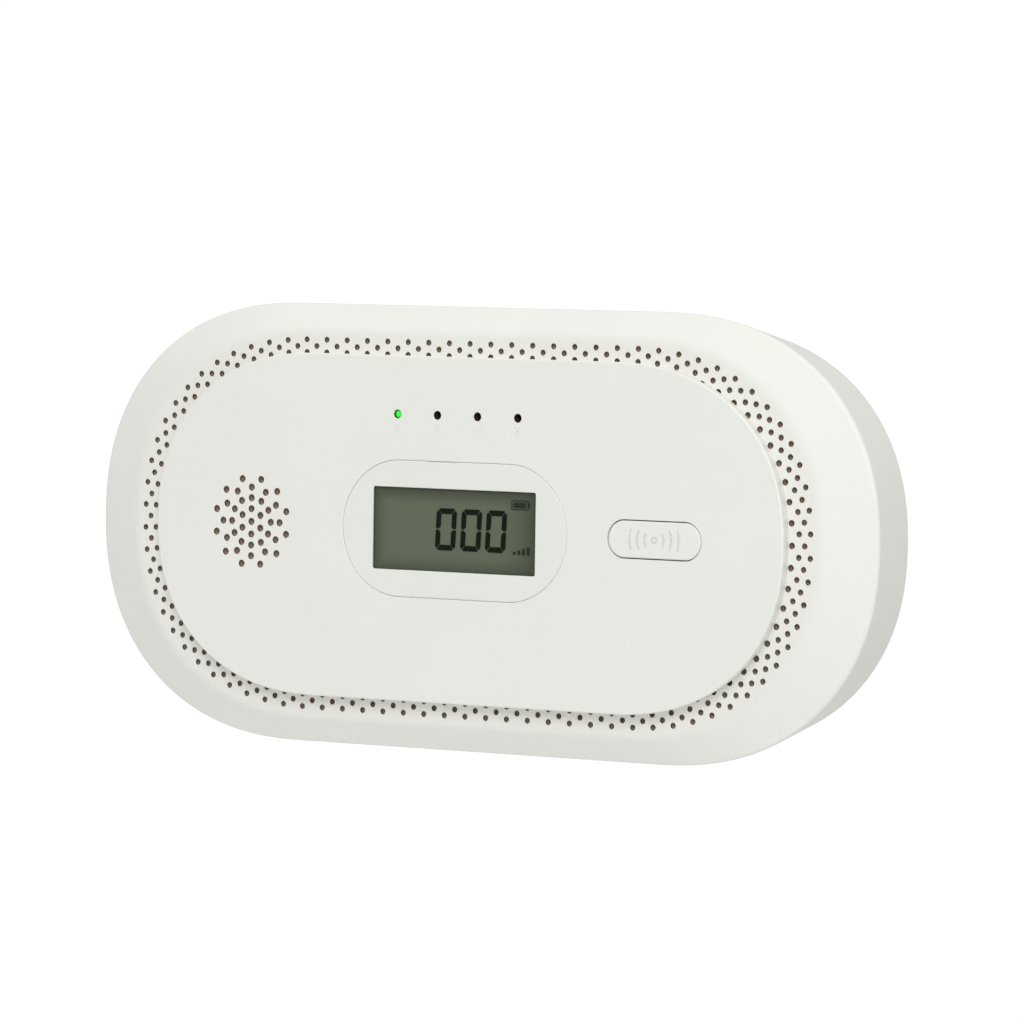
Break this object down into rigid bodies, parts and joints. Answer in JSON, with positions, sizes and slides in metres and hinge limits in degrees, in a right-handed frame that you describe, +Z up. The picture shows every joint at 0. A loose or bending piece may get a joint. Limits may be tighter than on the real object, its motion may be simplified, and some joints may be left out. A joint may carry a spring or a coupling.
{
  "type": "carbon monoxide detector",
  "caption": "Oval wall-mounted carbon monoxide alarm with a perforated vent ring, digital display, indicator lights, sounder, test button and lift-off wall bracket.",
  "frame": {"origin": "centre of the wall bracket's back face, where it meets the wall, level with the middle of the oval body", "axes": "+X to the right seen from the front, +Z up, +Y into the wall; the display looks along -Y"},
  "size_m": [0.1454, 0.033, 0.07],
  "materials": {
    "white_abs": "warm white moulded ABS, fine matt texture",
    "bracket_white": "white moulded ABS, matt",
    "key_white": "warm white moulded ABS, satin",
    "lcd": "olive liquid crystal cell with a smooth glass front",
    "film": "satin silver reflector film",
    "holder": "white plastic frame",
    "rubber": "conductive silicone rubber strip",
    "led_green": "clear green epoxy",
    "led_yellow": "clear yellow epoxy",
    "led_red": "clear red epoxy",
    "led_blue": "clear blue epoxy",
    "black_plastic": "black moulded plastic",
    "brass": "thin brass disc",
    "board": "green solder mask on glass-epoxy laminate",
    "steel": "zinc plated steel",
    "nickel": "nickel plated sheet and wire",
    "sleeve": "printed shrink sleeve, dark",
    "copper": "enamelled copper winding"
  },
  "bodies": {
    "bracket": {"wall_bracket": "bracket_white"},
    "detector": {"front_housing": "white_abs", "rear_housing": "white_abs", "front_panel": "white_abs", "display_bezel": "white_abs", "lcd_glass": "lcd", "lcd_reflector": "film", "lcd_holder": "holder", "zebra_strip_upper": "rubber", "zebra_strip_lower": "rubber", "led_power": "led_green", "led_fault": "led_yellow", "led_alarm": "led_red", "led_life": "led_blue", "buzzer_housing": "black_plastic", "piezo_disc": "brass", "switch_body": "steel", "main_pcb": "board", "mcu_chip": "black_plastic", "co_sensor_can": "nickel", "co_sensor_cap": "black_plastic", "capacitor": "sleeve", "boost_inductor": "copper", "battery_1": "sleeve", "battery_2": "sleeve", "battery_spring_1": "nickel", "battery_spring_2": "nickel", "battery_link_plate": "nickel", "battery_contact_positive": "nickel", "battery_contact_negative": "nickel", "case_screw_1": "steel", "case_screw_2": "steel", "case_screw_3": "steel", "case_screw_4": "steel", "board_screw_1": "steel", "board_screw_2": "steel"},
    "door": {"battery_door": "white_abs"},
    "button": {"test_button": "key_white"},
    "plunger": {"switch_plunger": "black_plastic"}
  },
  "joints": [
    {"name": "detector_lift", "type": "slide", "parent": "bracket", "child": "detector", "axis": [0, 0, 1], "range_m": [0, 0.01]},
    {"name": "battery_door_slide", "type": "slide", "parent": "detector", "child": "door", "axis": [0, 0, -1], "range_m": [0, 0.008]},
    {"name": "test_button_press", "type": "slide", "parent": "detector", "child": "button", "axis": [0, 1, 0], "range_m": [0, 0.0006], "stiffness_N_per_m": 1200, "springref_m": -0.0003},
    {"name": "switch_plunger_press", "type": "slide", "parent": "detector", "child": "plunger", "axis": [0, 1, 0], "range_m": [0, 0.0003]}
  ],
  "couplings": [
    {"joint": "switch_plunger_press", "follows": "test_button_press", "ratio": 0.5}
  ]
}
